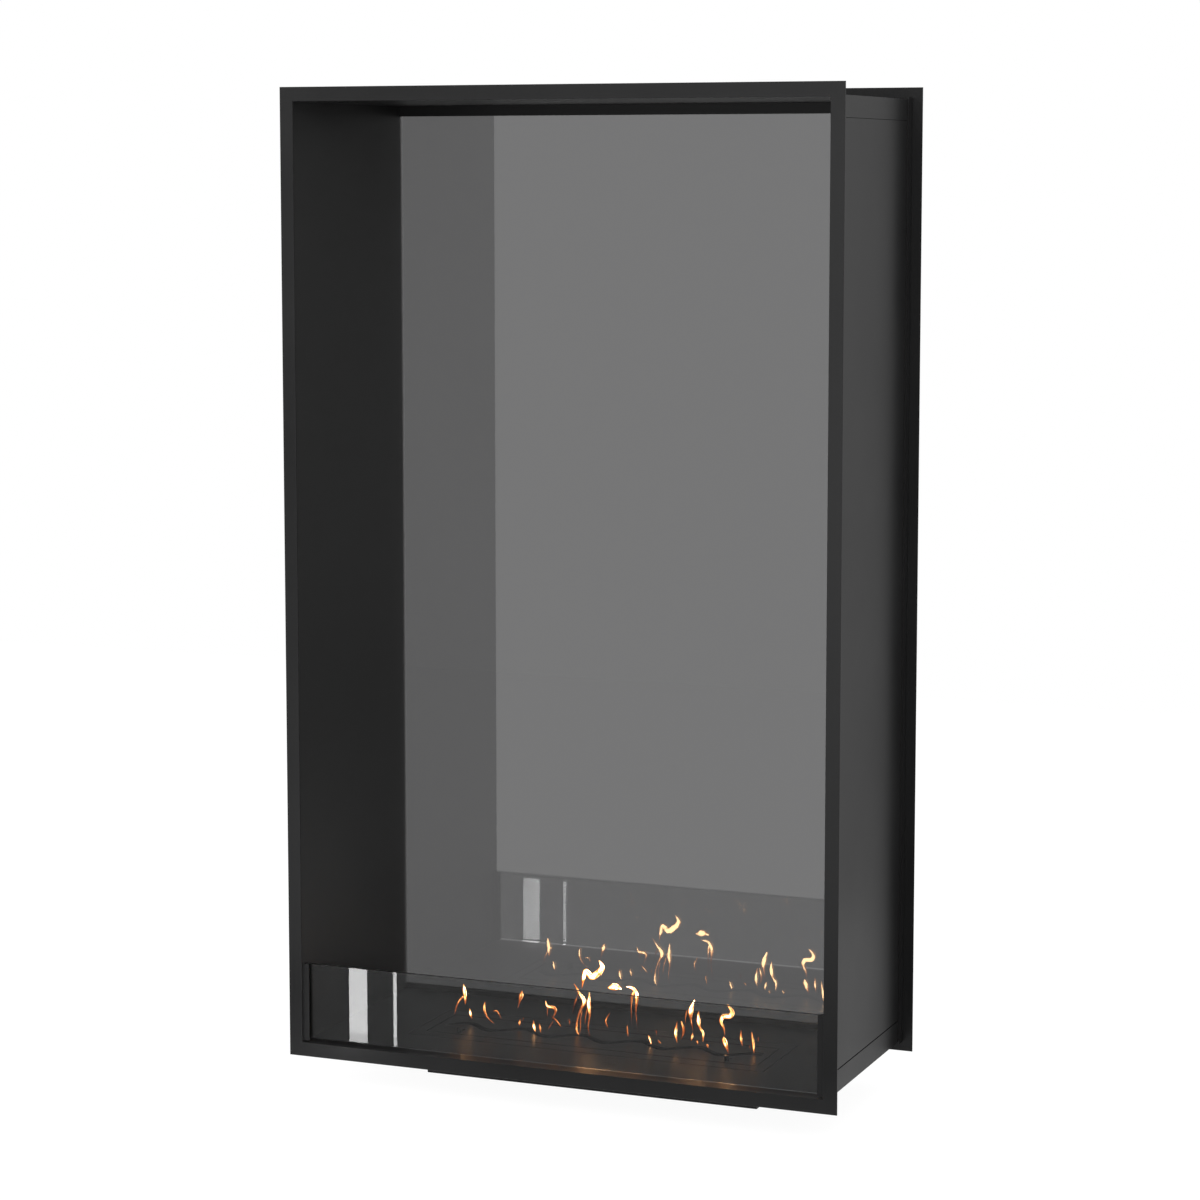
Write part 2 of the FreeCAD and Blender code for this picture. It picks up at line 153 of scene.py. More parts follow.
floor.data.materials.append(floor_paint)

# Studio lamps
# Large soft boxes that the lens and the glass don't see, each with its name, place, size and power.
# All of them look at the middle of the insert.
soft_boxes = [
    ("key_box", (0.5, -2.8, 2.3), 1.4, 40.0),
    ("fill_box", (-2.6, -2.2, 1.8), 1.8, 30.0),
    ("back_box", (1.2, 2.8, 2.2), 1.6, 30.0),
]
lamp_target = (0.0, 0.0, 0.6)


def aim(lamp, target):
    """Turn a lamp so that its face looks at the target: azimuth from the plan, tip from the height."""
    across, along, down = (goal - start for goal, start in zip(target, lamp.location))
    lamp.rotation_euler = (math.atan2(math.hypot(across, along), -down), 0.0, math.atan2(-across, along))


for lamp_name, lamp_place, lamp_size, lamp_power in soft_boxes:
    lamp_data = bpy.data.lights.new(lamp_name, "AREA")
    lamp_data.shape = "SQUARE"
    lamp_data.size = lamp_size
    lamp_data.energy = lamp_power
    lamp = bpy.data.objects.new(lamp_name, lamp_data)
    lamp.location = lamp_place
    aim(lamp, lamp_target)
    lamp.visible_camera = False
    lamp.visible_transmission = False
    scene.collection.objects.link(lamp)

# Studio spot
# A small soft spot, low on the right, that lifts the foot of the left inner wall and the flange beside it.
# Only matt surfaces show it.
spot_place, spot_target = (0.55, -1.1, 0.40), (-0.333, -0.14, 0.16)
spot_cone, spot_radius, spot_power = math.radians(22.0), 0.12, 60.0
spot_data = bpy.data.lights.new("foot_spot", "SPOT")
spot_data.spot_size = spot_cone
spot_data.spot_blend = 1.0
spot_data.shadow_soft_size = spot_radius
spot_data.energy = spot_power
spot = bpy.data.objects.new("foot_spot", spot_data)
spot.location = spot_place
aim(spot, spot_target)
spot.visible_camera = False
spot.visible_glossy = False
spot.visible_transmission = False
scene.collection.objects.link(spot)

# Studio cards
# What the gloss sees round the insert: a bright sweep in front that fades to the left and upwards, a dark
# flag on the floor that keeps the glare off the low pane, slim strips that draw the bars in it and in its
# mirror image, a line of light under that image, and grey cards on the right.
window_left, window_right, window_top = -1.85, 2.6, 1.6
window_near, window_far, window_level = -0.79, -3.3, 1.34
bright_left, bright_level = -0.65, 2.4
dim_left, dim_top, dim_level = -4.5, 4.5, 0.15
flag_left, flag_right, flag_near, flag_far = -0.95, 0.55, -0.33, -0.78
flag_level, flag_level_through = 0.15, 1.2
strip_spans = [(-0.3715, -0.3458), (-0.3088, -0.3041)]
strip_front, strip_top, strip_level, strip_level_through = -0.3445, 0.097, 10.2, 9.5
strip_through_shift, strip_through_front, strip_through_top = -0.0201, -0.3785, 0.089
gap_near, gap_far, gap_shift, gap_level = -0.353, -0.369, -0.0120, 1.4
side_left, side_right, side_near, side_far, side_top = 0.36, 1.3, -0.6, 1.0, 1.7
side_level, side_floor_level = 0.48, 0.65
edge_card_width = 0.009
card_lift, far_reach = 0.001, 0.4


def gloss_only(name, level, level_through, seen=1.0, seen_far=1.0, seen_through=1.0):
    """Plain light for paths that have met gloss, and nothing for the rest.

    Its level differs for paths that come through glass. The share of the card that is there at all differs
    for them too, and for gloss farther off than far_reach.
    """
    material = bpy.data.materials.new(name)
    material.use_nodes = True
    nodes, links = material.node_tree.nodes, material.node_tree.links
    path = nodes.new("ShaderNodeLightPath")
    strength = nodes.new("ShaderNodeMapRange")
    strength.inputs["To Min"].default_value = level
    strength.inputs["To Max"].default_value = level_through
    far = nodes.new("ShaderNodeMath")
    far.operation = "GREATER_THAN"
    far.inputs[1].default_value = far_reach
    direct = nodes.new("ShaderNodeMapRange")
    direct.inputs["To Min"].default_value = seen
    direct.inputs["To Max"].default_value = seen_far
    presence = nodes.new("ShaderNodeMapRange")
    presence.inputs["To Max"].default_value = seen_through
    share = nodes.new("ShaderNodeMath")
    share.operation = "MULTIPLY"
    unseen = nodes.new("ShaderNodeBsdfTransparent")
    light = nodes.new("ShaderNodeEmission")
    mix = nodes.new("ShaderNodeMixShader")
    links.new(path.outputs["Is Transmission Ray"], strength.inputs["Value"])
    links.new(strength.outputs["Result"], light.inputs["Strength"])
    links.new(path.outputs["Ray Length"], far.inputs[0])
    links.new(far.outputs["Value"], direct.inputs["Value"])
    links.new(direct.outputs["Result"], presence.inputs["To Min"])
    links.new(path.outputs["Is Transmission Ray"], presence.inputs["Value"])
    links.new(presence.outputs["Result"], share.inputs[0])
    links.new(path.outputs["Glossy Depth"], share.inputs[1])
    links.new(share.outputs["Value"], mix.inputs["Fac"])
    links.new(unseen.outputs["BSDF"], mix.inputs[1])
    links.new(light.outputs["Emission"], mix.inputs[2])
    links.new(mix.outputs["Shader"], nodes["Material Output"].inputs["Surface"])
    return material


def studio_card(name, corners, material):
    """A flat card of the studio, hidden from the lens and from diffuse light."""
    card = bpy.data.objects.new(name, sheet_mesh(name, corners))
    card.data.materials.append(material)
    card.visible_camera = False
    card.visible_diffuse = False
    card.visible_shadow = False
    scene.collection.objects.link(card)


def lying(left, right, near, far, layer=1):
    """Corners of a card on the floor, in the given layer of cards."""
    low = floor_low + layer * card_lift
    return [(left, far, low), (right, far, low), (right, near, low), (left, near, low)]


def standing(left, right, depth, top, foot=floor_low):
    """Corners of a card that stands across the view, on the floor if no foot is given."""
    return [(left, depth, foot), (right, depth, foot), (right, depth, top), (left, depth, top)]


window_light = gloss_only("studio_window", window_level, window_level)
studio_card("studio_window", standing(window_left, bright_left, window_far, window_top), window_light)
studio_card("studio_window_bright", standing(bright_left, window_right, window_far, window_top),
            gloss_only("studio_window_bright", bright_level, bright_level))
dim_light = gloss_only("studio_window_dim", dim_level, dim_level)
studio_card("studio_window_dim", standing(dim_left, window_left, window_far, window_top), dim_light)
studio_card("studio_window_high", standing(dim_left, window_right, window_far, dim_top, foot=window_top),
            dim_light)
studio_card("studio_window_floor", lying(window_left, window_right, window_near, window_far), window_light)
studio_card("studio_flag", lying(flag_left, flag_right, flag_near, flag_far),
            gloss_only("studio_flag", flag_level, flag_level_through))
studio_card("studio_gap", lying(flag_left, flag_right, gap_near, gap_far, layer=2),
            gloss_only("studio_gap", gap_level, gap_level, seen=0.0, seen_through=0.0))
strip_light = gloss_only("studio_strip", strip_level, strip_level, seen_far=0.0, seen_through=0.0)
strip_light_through = gloss_only("studio_strip_through", strip_level_through, strip_level_through, seen=0.0,
                                 seen_far=0.0)
strip_light_gap = gloss_only("studio_strip_gap", strip_level, strip_level, seen=0.0, seen_through=0.0)
for number, (left, right) in enumerate(strip_spans):
    studio_card("studio_strip_" + str(number + 1),
                standing(left, right, strip_front, strip_top), strip_light)
    studio_card("studio_strip_through_" + str(number + 1),
                standing(left + strip_through_shift, right + strip_through_shift, strip_through_front,
                         strip_through_top), strip_light_through)
    studio_card("studio_strip_gap_" + str(number + 1),
                lying(left + gap_shift, right + gap_shift, gap_near, gap_far, layer=3), strip_light_gap)
studio_card("studio_side", standing(side_left, side_right, side_far, side_top),
            gloss_only("studio_side", side_level, side_level))
studio_card("studio_side_floor", lying(side_left, side_right, side_near, side_far),
            gloss_only("studio_side_floor", side_floor_level, side_floor_level))
# A black card just past the rear frame's outer edge, seen only in gloss: it puts painted shade into the
# right side wall next to the rear flange.
edge_right, edge_depth, edge_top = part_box("rear_frame")[1]
studio_card("studio_edge", standing(edge_right, edge_right + edge_card_width, edge_depth, edge_top),
            gloss_only("studio_edge", 0.0, 0.0))

# Casing: top cover, floor tray, skins and flange frames
# Folded and spot-welded sheet steel, sprayed with satin black powder that bakes to a fine orange peel.
# The flange frames wrap both ends of the box, and lie on the wall's faces when it is built in.
coat_dark, coat_light = (0.0080, 0.0080, 0.0082, 1.0), (0.0110, 0.0110, 0.0112, 1.0)
patch_detail, patch_grain, patch_low, patch_high = 4.0, 0.6, 0.3, 0.7
peel_detail, peel_height = 2.0, 0.0002


def link_all(links, pairs):
    """Join each output to its input."""
    for source, target in pairs:
        links.new(source, target)


def sprayed_paint_group():
    """Shade, roughness and orange peel of a sprayed coat.

    Shade and roughness follow one broad noise; the peel is a fine noise as a bump.
    """
    tree = bpy.data.node_groups.new("sprayed_paint", "ShaderNodeTree")
    make = tree.interface.new_socket
    for name, kind in (("Place", "NodeSocketVector"), ("Dark", "NodeSocketColor"),
                       ("Light", "NodeSocketColor"), ("Patch Scale", "NodeSocketFloat"),
                       ("Smooth", "NodeSocketFloat"),
                       ("Rough", "NodeSocketFloat"), ("Peel Scale", "NodeSocketFloat"),
                       ("Peel Strength", "NodeSocketFloat")):
        make(name, in_out="INPUT", socket_type=kind)
    for name, kind in (("Colour", "NodeSocketColor"), ("Roughness", "NodeSocketFloat"),
                       ("Normal", "NodeSocketVector")):
        make(name, in_out="OUTPUT", socket_type=kind)
    nodes, links = tree.nodes, tree.links
    given, result = nodes.new("NodeGroupInput"), nodes.new("NodeGroupOutput")
    patch = nodes.new("ShaderNodeTexNoise")
    patch.inputs["Detail"].default_value = patch_detail
    patch.inputs["Roughness"].default_value = patch_grain
    spread = nodes.new("ShaderNodeMapRange")
    spread.inputs["From Min"].default_value = patch_low
    spread.inputs["From Max"].default_value = patch_high
    shade = nodes.new("ShaderNodeMix")
    shade.data_type = "RGBA"
    rough = nodes.new("ShaderNodeMapRange")
    peel = nodes.new("ShaderNodeTexNoise")
    peel.inputs["Detail"].default_value = peel_detail
    bump = nodes.new("ShaderNodeBump")
    bump.inputs["Distance"].default_value = peel_height
    link_all(links, [
        (given.outputs["Place"], patch.inputs["Vector"]),
        (given.outputs["Patch Scale"], patch.inputs["Scale"]),
        (patch.outputs["Fac"], spread.inputs["Value"]),
        (spread.outputs["Result"], shade.inputs["Factor"]),
        (given.outputs["Dark"], shade.inputs["A"]),
        (given.outputs["Light"], shade.inputs["B"]),
        (spread.outputs["Result"], rough.inputs["Value"]),
        (given.outputs["Smooth"], rough.inputs["To Min"]),
        (given.outputs["Rough"], rough.inputs["To Max"]),
        (given.outputs["Place"], peel.inputs["Vector"]),
        (given.outputs["Peel Scale"], peel.inputs["Scale"]),
        (peel.outputs["Fac"], bump.inputs["Height"]),
        (given.outputs["Peel Strength"], bump.inputs["Strength"]),
        (shade.outputs["Result"], result.inputs["Colour"]),
        (rough.outputs["Result"], result.inputs["Roughness"]),
        (bump.outputs["Normal"], result.inputs["Normal"]),
    ])
    return tree


sprayed_paint = sprayed_paint_group()


def painted(name, dark, light, smooth, rough, specular, patch_scale=6.0, peel_scale=700.0,
            peel_strength=0.25):
    """A sprayed steel surface: the paint group feeds colour, roughness and normal of one shader."""
    material = bpy.data.materials.new(name)
    material.use_nodes = True
    nodes, links = material.node_tree.nodes, material.node_tree.links
    shader = nodes["Principled BSDF"]
    shader.inputs["Specular IOR Level"].default_value = specular
    paint = nodes.new("ShaderNodeGroup")
    paint.node_tree = sprayed_paint
    for socket, value in (("Dark", dark), ("Light", light), ("Patch Scale", patch_scale), ("Smooth", smooth),
                          ("Rough", rough), ("Peel Scale", peel_scale), ("Peel Strength", peel_strength)):
        paint.inputs[socket].default_value = value
    place = nodes.new("ShaderNodeTexCoord")
    link_all(links, [
        (place.outputs["Object"], paint.inputs["Place"]),
        (paint.outputs["Colour"], shader.inputs["Base Color"]),
        (paint.outputs["Roughness"], shader.inputs["Roughness"]),
        (paint.outputs["Normal"], shader.inputs["Normal"]),
    ])
    return material


def dress(material, *names):
    """Put a material in every slot of these CAD pieces."""
    for name in names:
        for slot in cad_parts[name].material_slots:
            slot.material = material


powder_coat = painted("powder_coat", coat_dark, coat_light, smooth=0.28, rough=0.34, specular=0.19)
dress(powder_coat, "top_cover", "floor_tray", "left_skin", "right_skin", "front_frame", "rear_frame")

# Liners, ceiling and hearth floor
# Inner sheets that stand the heat, with a matt heat-proof black sprayed thinner than the outside.
# Their backs, which show only in the seams of the skins, get a dull near-black painted shade that makes
# those seams read as dark lines.
liner_dark, liner_light = (0.0150, 0.0150, 0.0152, 1.0), (0.0205, 0.0203, 0.0202, 1.0)
heat_paint = painted("heat_paint", liner_dark, liner_light, smooth=0.34, rough=0.42, specular=0.26,
                     patch_scale=4.0, peel_scale=900.0, peel_strength=0.2)
# Near-black painted shade for the backs of the liners, seen in the seams of the skins.
seam_shade_black, seam_shade_step = (0.0006, 0.0006, 0.0006, 1.0), 0.0003


def paint_seam_shade(material, half_width):
    """Paint dull near-black shade where |x| is past the half width, on the sides that look at the outer
    skins.
    """
    nodes, links = material.node_tree.nodes, material.node_tree.links
    place = nodes.new("ShaderNodeSeparateXYZ")
    aside = nodes.new("ShaderNodeMath")
    aside.operation = "ABSOLUTE"
    back = nodes.new("ShaderNodeMath")
    back.operation = "GREATER_THAN"
    back.inputs[1].default_value = half_width
    shade = nodes.new("ShaderNodeMix")
    shade.data_type = "RGBA"
    shade.inputs["B"].default_value = seam_shade_black
    dull = nodes.new("ShaderNodeMath")
    dull.operation = "MAXIMUM"
    shader, paint = nodes["Principled BSDF"], nodes["Group"]
    link_all(links, [
        (nodes["Texture Coordinate"].outputs["Object"], place.inputs["Vector"]),
        (place.outputs["X"], aside.inputs[0]),
        (aside.outputs["Value"], back.inputs[0]),
        (back.outputs["Value"], shade.inputs["Factor"]),
        (paint.outputs["Colour"], shade.inputs["A"]),
        (shade.outputs["Result"], shader.inputs["Base Color"]),
        (back.outputs["Value"], dull.inputs[0]),
        (paint.outputs["Roughness"], dull.inputs[1]),
        (dull.outputs["Value"], shader.inputs["Roughness"]),
    ])


paint_seam_shade(heat_paint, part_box("right_liner")[1][0] - seam_shade_step)
dress(heat_paint, "left_liner", "right_liner", "ceiling_liner", "hearth_floor")

# Glass channels, setting pads and screws
# Folded black U channels, screwed to the sheets with small blackened screws; the panes stand on rubber.
channel_dark, channel_light = (0.0075, 0.0075, 0.0077, 1.0), (0.0105, 0.0105, 0.0107, 1.0)
channel_paint = painted("channel_paint", channel_dark, channel_light, smooth=0.38, rough=0.46, specular=0.16,
                        peel_scale=1000.0)
dress(channel_paint, "rear_glass_top_channel", "rear_glass_bottom_channel", "front_glass_left_channel",
      "front_glass_right_channel")
pad_dark, pad_light = (0.012, 0.012, 0.012, 1.0), (0.02, 0.02, 0.02, 1.0)
pad_rubber = painted("pad_rubber", pad_dark, pad_light, smooth=0.6, rough=0.75, specular=0.3,
                     patch_scale=40.0, peel_scale=1600.0)
dress(pad_rubber, "rear_glass_pads", "front_glass_pads")
screw_dark, screw_light = (0.03, 0.03, 0.032, 1.0), (0.07, 0.068, 0.066, 1.0)
screw_steel = painted("screw_steel", screw_dark, screw_light, smooth=0.28, rough=0.42, specular=0.5,
                      patch_scale=300.0, peel_scale=2500.0)
screw_steel.node_tree.nodes["Principled BSDF"].inputs["Metallic"].default_value = 1.0
dress(screw_steel, "rear_channel_screws", "front_channel_screws")

# Panes
# Toughened float glass: the tall rear one is body-tinted dark grey, the low front one only lightly.
# Faint wipe marks change their polish a little, and their cut edges are ground dull.
smoke_tint, smoke_index, smoke_wipe = (0.112, 0.112, 0.113, 1.0), 1.6, (3.0, 1.0, 9.0)
light_tint, light_index, light_wipe = (0.44, 0.445, 0.445, 1.0), 1.5, (9.0, 1.0, 3.0)
wipe_detail, wipe_low, wipe_high, wipe_rough = 6.0, 0.62, 0.85, 0.01
edge_facing, ground_rough, ground_shade = 0.7, 0.3, 0.8


def pane_glass(name, tint, index, wipe_scale):
    """Tinted glass whose polish varies along stretched noise, as wiping leaves it.

    Faces that don't look along the pane's depth are its cut edges, ground to a dull finish.
    """
    material = bpy.data.materials.new(name)
    material.use_nodes = True
    nodes, links = material.node_tree.nodes, material.node_tree.links
    shader = nodes["Principled BSDF"]
    shader.inputs["Transmission Weight"].default_value = 1.0
    shader.inputs["IOR"].default_value = index
    place = nodes.new("ShaderNodeTexCoord")
    stretch = nodes.new("ShaderNodeMapping")
    stretch.inputs["Scale"].default_value = wipe_scale
    wipe = nodes.new("ShaderNodeTexNoise")
    wipe.inputs["Scale"].default_value = 1.0
    wipe.inputs["Detail"].default_value = wipe_detail
    polish = nodes.new("ShaderNodeMapRange")
    polish.inputs["From Min"].default_value = wipe_low
    polish.inputs["From Max"].default_value = wipe_high
    polish.inputs["To Max"].default_value = wipe_rough
    facing = nodes.new("ShaderNodeSeparateXYZ")
    flat = nodes.new("ShaderNodeMath")
    flat.operation = "ABSOLUTE"
    edge = nodes.new("ShaderNodeMath")
    edge.operation = "LESS_THAN"
    edge.inputs[1].default_value = edge_facing
    finish = nodes.new("ShaderNodeMix")
    finish.inputs["B"].default_value = ground_rough
    shade = nodes.new("ShaderNodeMix")
    shade.data_type = "RGBA"
    shade.inputs["A"].default_value = tint
    shade.inputs["B"].default_value = tuple(ground_shade * part for part in tint[:3]) + (1.0,)
    link_all(links, [
        (place.outputs["Object"], stretch.inputs["Vector"]),
        (stretch.outputs["Vector"], wipe.inputs["Vector"]),
        (wipe.outputs["Fac"], polish.inputs["Value"]),
        (place.outputs["Normal"], facing.inputs["Vector"]),
        (facing.outputs["Y"], flat.inputs[0]),
        (flat.outputs["Value"], edge.inputs[0]),
        (edge.outputs["Value"], finish.inputs["Factor"]),
        (polish.outputs["Result"], finish.inputs["A"]),
        (finish.outputs["Result"], shader.inputs["Roughness"]),
        (edge.outputs["Value"], shade.inputs["Factor"]),
        (shade.outputs["Result"], shader.inputs["Base Color"]),
    ])
    return material


smoked_glass = pane_glass("smoked_glass", smoke_tint, smoke_index, smoke_wipe)
clear_glass = pane_glass("clear_glass", light_tint, light_index, light_wipe)
dress(smoked_glass, "rear_glass")
dress(clear_glass, "front_glass")

# Burner: tank, rim, top plate, damper and knobs
# Laser-cut sheet. The rim, top plate and knobs have a semi-gloss heat-proof black; the tank, damper,
# guides and the grid over the fibre are blackened stainless.
burner_dark, burner_light = (0.016, 0.016, 0.0162, 1.0), (0.0225, 0.022, 0.0218, 1.0)
burner_paint = painted("burner_paint", burner_dark, burner_light, smooth=0.30, rough=0.38, specular=0.22,
                       patch_scale=14.0, peel_scale=1100.0, peel_strength=0.15)
seam_width, seam_depth = 0.0019, 0.95
# Near-black painted shade, with soot, along the joints of the burner's rim and top plate.
joint_shade_and_soot, soot_rough = (0.0008, 0.0007, 0.0006, 1.0), 0.5


def soot_and_shade_in_seams(material, boxes):
    """Darken a painted material along each box's outline from above: painted shade in the joint, with the
    soot that settles there.

    The distance to an outline is the size of the larger of two values: |x - middle| less the half length,
    and |y - middle| less the half depth.
    """
    nodes, links = material.node_tree.nodes, material.node_tree.links

    def step(operation, *values):
        """The output of one maths node, fed with numbers or with other outputs."""
        node = nodes.new("ShaderNodeMath")
        node.operation = operation
        for socket, value in zip(node.inputs, values):
            if isinstance(value, float):
                socket.default_value = value
            else:
                links.new(value, socket)
        return node.outputs["Value"]

    place = nodes.new("ShaderNodeSeparateXYZ")
    links.new(nodes["Texture Coordinate"].outputs["Object"], place.inputs["Vector"])
    nearest = None
    for low, high in boxes:
        past = []
        for axis, start, end in zip("XY", low, high):
            off = step("ABSOLUTE", step("SUBTRACT", place.outputs[axis], (start + end) / 2))
            past.append(step("SUBTRACT", off, (end - start) / 2))
        distance = step("ABSOLUTE", step("MAXIMUM", *past))
        nearest = distance if nearest is None else step("MINIMUM", nearest, distance)
    joint_shade = nodes.new("ShaderNodeMapRange")
    joint_shade.interpolation_type = "SMOOTHSTEP"
    joint_shade.inputs["From Max"].default_value = seam_width
    joint_shade.inputs["To Min"].default_value = seam_depth
    joint_shade.inputs["To Max"].default_value = 0.0
    links.new(nearest, joint_shade.inputs["Value"])
    shade = nodes.new("ShaderNodeMix")
    shade.data_type = "RGBA"
    shade.inputs["B"].default_value = joint_shade_and_soot
    dull = step("MULTIPLY_ADD", joint_shade.outputs["Result"], soot_rough, nodes["Group"].outputs["Roughness"])
    shader = nodes["Principled BSDF"]
    link_all(links, [
        (joint_shade.outputs["Result"], shade.inputs["Factor"]),
        (nodes["Group"].outputs["Colour"], shade.inputs["A"]),
        (shade.outputs["Result"], shader.inputs["Base Color"]),
        (dull, shader.inputs["Roughness"]),
    ])


burner_seams = [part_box("burner_rim"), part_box("burner_top_plate")]
soot_and_shade_in_seams(burner_paint, burner_seams)
dress(burner_paint, "burner_rim", "burner_top_plate", "damper_knobs")
steel_dark, steel_light = (0.010, 0.010, 0.0105, 1.0), (0.019, 0.0185, 0.0185, 1.0)
tank_steel = painted("tank_steel", steel_dark, steel_light, smooth=0.36, rough=0.5, specular=0.2,
                     patch_scale=18.0, peel_scale=1400.0, peel_strength=0.12)
dress(tank_steel, "burner_tank", "damper_slider", "damper_guides", "fibre_grid")

# Ceramic fibre
# A soft white wool batt that fills the lower part of the tank and soaks up the fuel.
# It bulges between the walls and its top is tufted.
wool_low, wool_high = (np.array(corner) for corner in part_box("fibre_pad"))
wool_middle, wool_half = (wool_low + wool_high) / 2, (wool_high - wool_low) / 2
wool_rings, wool_steps, wool_reach = 96, 256, 1.5
wool_square, wool_tuft, wool_skew, wool_waves = 0.16, 0.0011, 1.3, (310.0, 730.0, 1460.0)


def batt_surface(turn, rise):
    """A rounded box: each coordinate is its half size times signed powers of sines or cosines.

    turn goes round the batt and rise from its foot to its top. Waves of three lengths, each
    sin(kx) cos(1.3ky + kz), tuft the surface inwards.
    """
    def bent(value):
        """The number's size to the power of the squareness, with the number's sign."""
        return np.sign(value) * np.abs(value) ** wool_square

    x = bent(np.cos(rise)) * bent(np.cos(turn))
    y = bent(np.cos(rise)) * bent(np.sin(turn))
    z = bent(np.sin(rise))
    unit = np.stack([x, y, z], axis=-1)
    point = wool_middle + wool_half * unit
    along, across, up = point[..., 0], point[..., 1], point[..., 2]
    tuft = sum(np.sin(along * wave) * np.cos(across * wave * wool_skew + up * wave)
               for wave in wool_waves) / len(wool_waves)
    return point - unit * (wool_tuft * (1.0 + tuft))[..., None]


def closed_grid(name, points):
    """A closed skin from rings of points: quads between rings, and a fan to the mean of each end ring."""
    rings, steps = points.shape[:2]
    first_middle, last_middle = points[0].mean(axis=0), points[-1].mean(axis=0)
    vertices = np.concatenate([points.reshape(-1, 3), first_middle[None], last_middle[None]])
    ring, step = np.meshgrid(np.arange(rings - 1), np.arange(steps), indexing="ij")
    after = (step + 1) % steps
    quads = np.stack([ring * steps + step, ring * steps + after, (ring + 1) * steps + after,
                      (ring + 1) * steps + step], axis=-1).reshape(-1, 4)
    around = np.arange(steps)
    next_around = (around + 1) % steps
    low_fan = np.stack([next_around, around, np.full(steps, rings * steps)], axis=-1)
    top = (rings - 1) * steps
    high_fan = np.stack([top + around, top + next_around, np.full(steps, rings * steps + 1)], axis=-1)
    mesh = bpy.data.meshes.new(name)
    mesh.from_pydata(vertices.tolist(), [], quads.tolist() + low_fan.tolist() + high_fan.tolist())
    mesh.polygons.foreach_set("use_smooth", np.ones(len(mesh.polygons), dtype=bool))
    mesh.update()
    return mesh


wool_rise, wool_turn = np.meshgrid(
    np.linspace(-wool_reach, wool_reach, wool_rings),
    np.linspace(0.0, 2.0 * math.pi, wool_steps, endpoint=False), indexing="ij")
wool = bpy.data.objects.new("fibre_wool", closed_grid("fibre_wool", batt_surface(wool_turn, wool_rise)))
scene.collection.objects.link(wool)
wool_dark, wool_light = (0.42, 0.40, 0.37, 1.0), (0.66, 0.64, 0.60, 1.0)
ceramic_fibre = painted("ceramic_fibre", wool_dark, wool_light, smooth=0.9, rough=1.0, specular=0.1,
                        patch_scale=60.0, peel_scale=900.0, peel_strength=1.0)
wool.data.materials.append(ceramic_fibre)
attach(wool, "burner")
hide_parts("fibre_pad")

# Flames
# Small tongues of burning vapour over the flame slot: white-hot heads, orange rims and thin cooler tails.
# Each is a flattened tube along a few points, given as place along the slot, height, width (mm) and heat.
# Their rear sides are hotter, so that the rear pane mirrors them brightly.
plate_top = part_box("burner_top_plate")[1][2]
slot_wave_length, slot_wave_height, slot_wave_shift = 0.076, 0.011, 0.008
flame_ring, flame_step, flame_flat, flame_least = 20, 10, 0.5, 0.3
flame_rear_gain, flame_rear_rise = 0.3, 2.0
flame_strength = 27.0
flame_stops = [
    (0.0, (0.004, 0.0005, 0.0001, 1.0)),
    (0.2, (0.014, 0.0022, 0.0004, 1.0)),
    (0.4, (0.034, 0.0072, 0.0011, 1.0)),
    (0.6, (0.085, 0.024, 0.0048, 1.0)),
    (0.8, (0.36, 0.16, 0.05, 1.0)),
    (1.0, (1.0, 0.62, 0.30, 1.0)),
]
flicker_scale, flicker_detail = (240.0, 240.0, 95.0), 2.0
flicker_low, flicker_high, flicker_loss, flicker_gain = 0.25, 0.75, -0.42, 0.16
rim_power, rim_cooling, rim_fade = 1.8, -0.6, 0.72
cool_clear, cool_full = 0.02, 0.3
mm_per_metre = 1000.0
